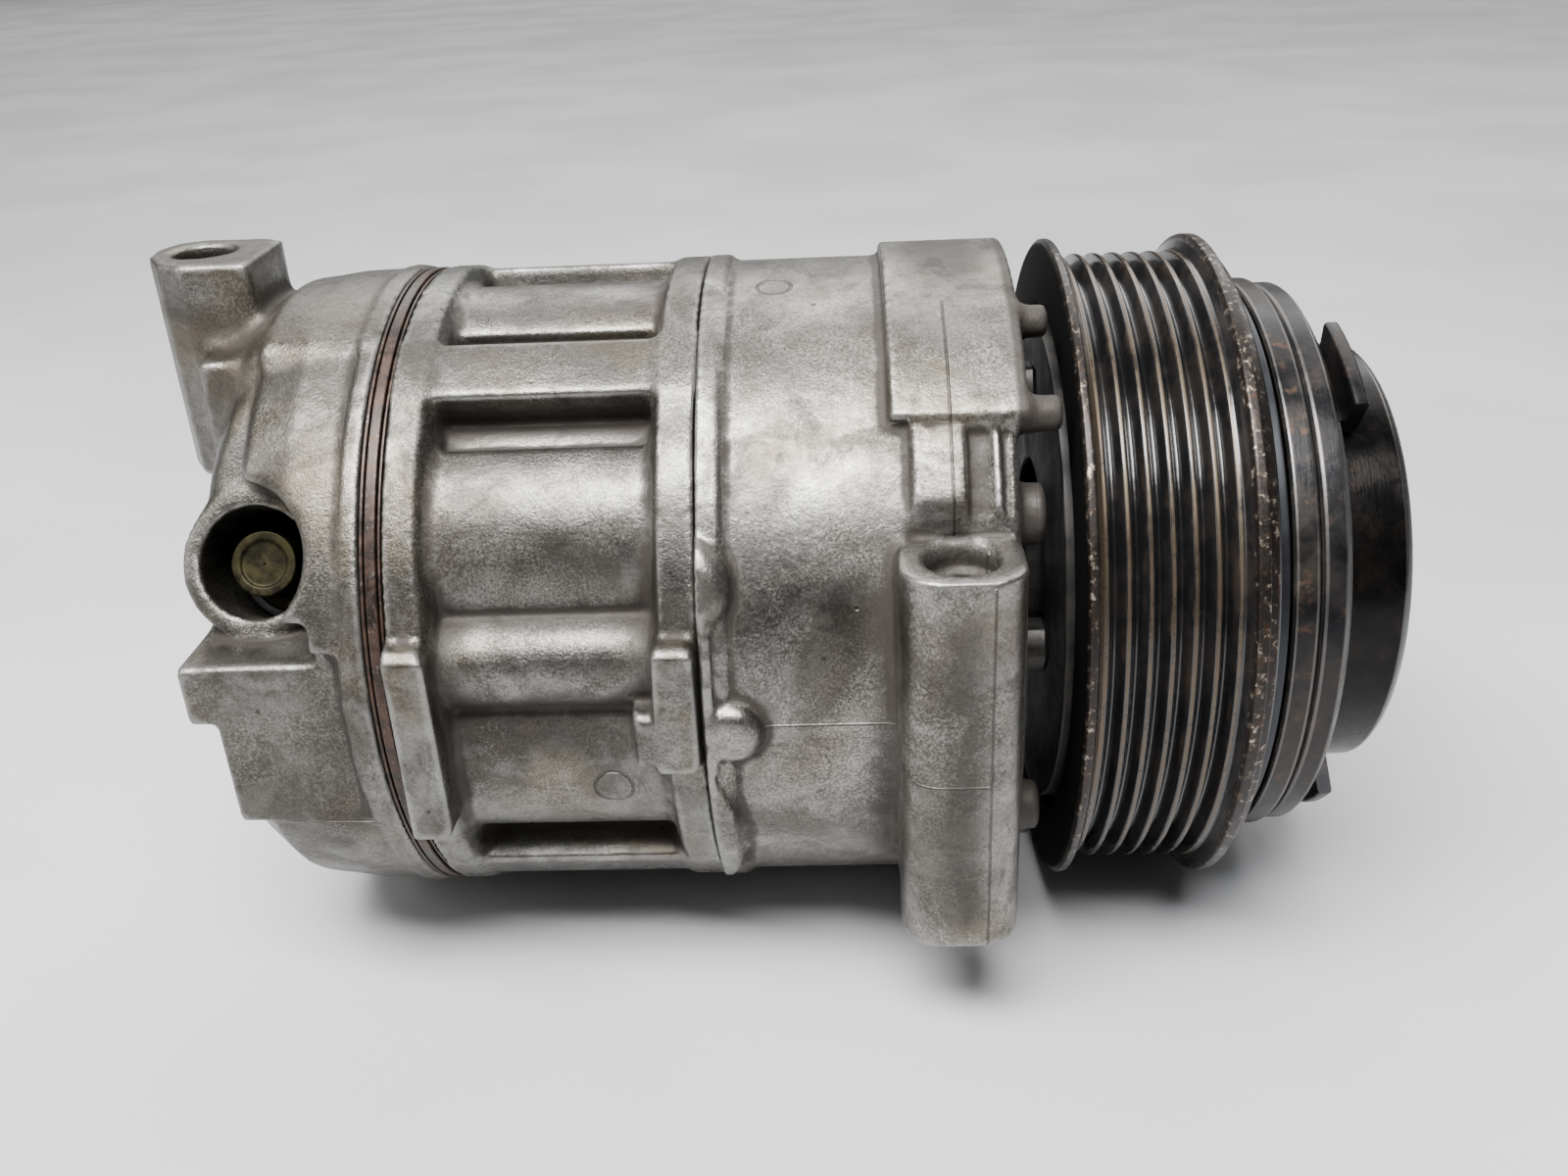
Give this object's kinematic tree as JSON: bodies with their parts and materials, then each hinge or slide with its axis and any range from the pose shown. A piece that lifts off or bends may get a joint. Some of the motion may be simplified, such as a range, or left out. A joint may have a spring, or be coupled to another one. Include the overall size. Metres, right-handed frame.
{
  "type": "air conditioning compressor",
  "caption": "Swash-plate refrigerant compressor with cast barrel casing, magnetic clutch, ribbed belt pulley and side mounting pillars.",
  "frame": {"origin": "centre of the near mounting pillar's bolt hole, on the pillar's lower face", "axes": "+X along the shaft towards the pulley, +Z along the mounting bolts towards the counterbored side, so +Y is the far side"},
  "size_m": [0.2251, 0.136, 0.1291],
  "materials": {
    "cast_aluminium": "weathered die cast, satin",
    "cast_aluminium_bright": "weathered die cast, satin",
    "piston_alloy": "machined",
    "coated_steel_brown": "brown rubber-coated steel edge",
    "machined_steel": "machined",
    "bolt_steel": "plated, dull",
    "dark_steel": "dark oxidised steel",
    "black_painted_steel": "gloss black with bare crests",
    "black_cup": "satin black",
    "brass": "tarnished",
    "bronze_coated_iron": "bronze-coated sliding face",
    "rubber": "matt black"
  },
  "bodies": {
    "housing": {"rear_head": "cast_aluminium", "control_valve": "brass", "valve_snap_ring": "machined_steel", "head_gasket": "coated_steel_brown", "reed_retainer": "machined_steel", "discharge_reed": "machined_steel", "valve_plate": "coated_steel_brown", "suction_reed": "machined_steel", "cylinder_block": "cast_aluminium", "front_housing": "cast_aluminium_bright", "front_bearing": "machined_steel", "rear_bearing": "machined_steel", "shaft_seal": "rubber", "seal_snap_ring": "machined_steel", "field_coil": "dark_steel", "coil_snap_ring": "machined_steel", "bearing_snap_ring": "machined_steel", "through_bolt_1": "bolt_steel", "through_bolt_2": "bolt_steel", "through_bolt_3": "bolt_steel", "through_bolt_4": "bolt_steel", "through_bolt_5": "bolt_steel", "through_bolt_6": "bolt_steel", "through_bolt_7": "bolt_steel", "piston_1": "piston_alloy", "piston_2": "piston_alloy", "piston_3": "piston_alloy", "piston_4": "piston_alloy", "piston_5": "piston_alloy", "piston_6": "piston_alloy", "piston_7": "piston_alloy", "shoe_1_front": "bronze_coated_iron", "shoe_1_rear": "bronze_coated_iron", "shoe_2_front": "bronze_coated_iron", "shoe_2_rear": "bronze_coated_iron", "shoe_3_front": "bronze_coated_iron", "shoe_3_rear": "bronze_coated_iron", "shoe_4_front": "bronze_coated_iron", "shoe_4_rear": "bronze_coated_iron", "shoe_5_front": "bronze_coated_iron", "shoe_5_rear": "bronze_coated_iron", "shoe_6_front": "bronze_coated_iron", "shoe_6_rear": "bronze_coated_iron", "shoe_7_front": "bronze_coated_iron", "shoe_7_rear": "bronze_coated_iron"},
    "pulley": {"pulley": "black_painted_steel", "pulley_bearing": "machined_steel"},
    "shaft": {"drive_shaft": "machined_steel", "lug_plate": "machined_steel", "thrust_bearing": "machined_steel", "return_spring": "bolt_steel", "swash_plate": "bronze_coated_iron", "guide_pin": "machined_steel", "hub_ring": "dark_steel", "hub_damper": "rubber", "hub_boss": "dark_steel", "spring_plate": "dark_steel", "hub_cup": "black_cup", "shaft_nut": "bolt_steel"},
    "armature": {"armature_plate": "dark_steel"}
  },
  "joints": [
    {"name": "pulley_spin", "type": "hinge", "parent": "housing", "child": "pulley", "pos_m": [0.0324, 0.0588, 0.042], "axis": [1, 0, 0], "continuous": true},
    {"name": "shaft_spin", "type": "hinge", "parent": "housing", "child": "shaft", "pos_m": [0.0324, 0.0588, 0.042], "axis": [1, 0, 0], "continuous": true},
    {"name": "armature_pull_in", "type": "slide", "parent": "shaft", "child": "armature", "axis": [-1, 0, 0], "range_m": [0, 0.0005], "stiffness_N_per_m": 20000}
  ]
}
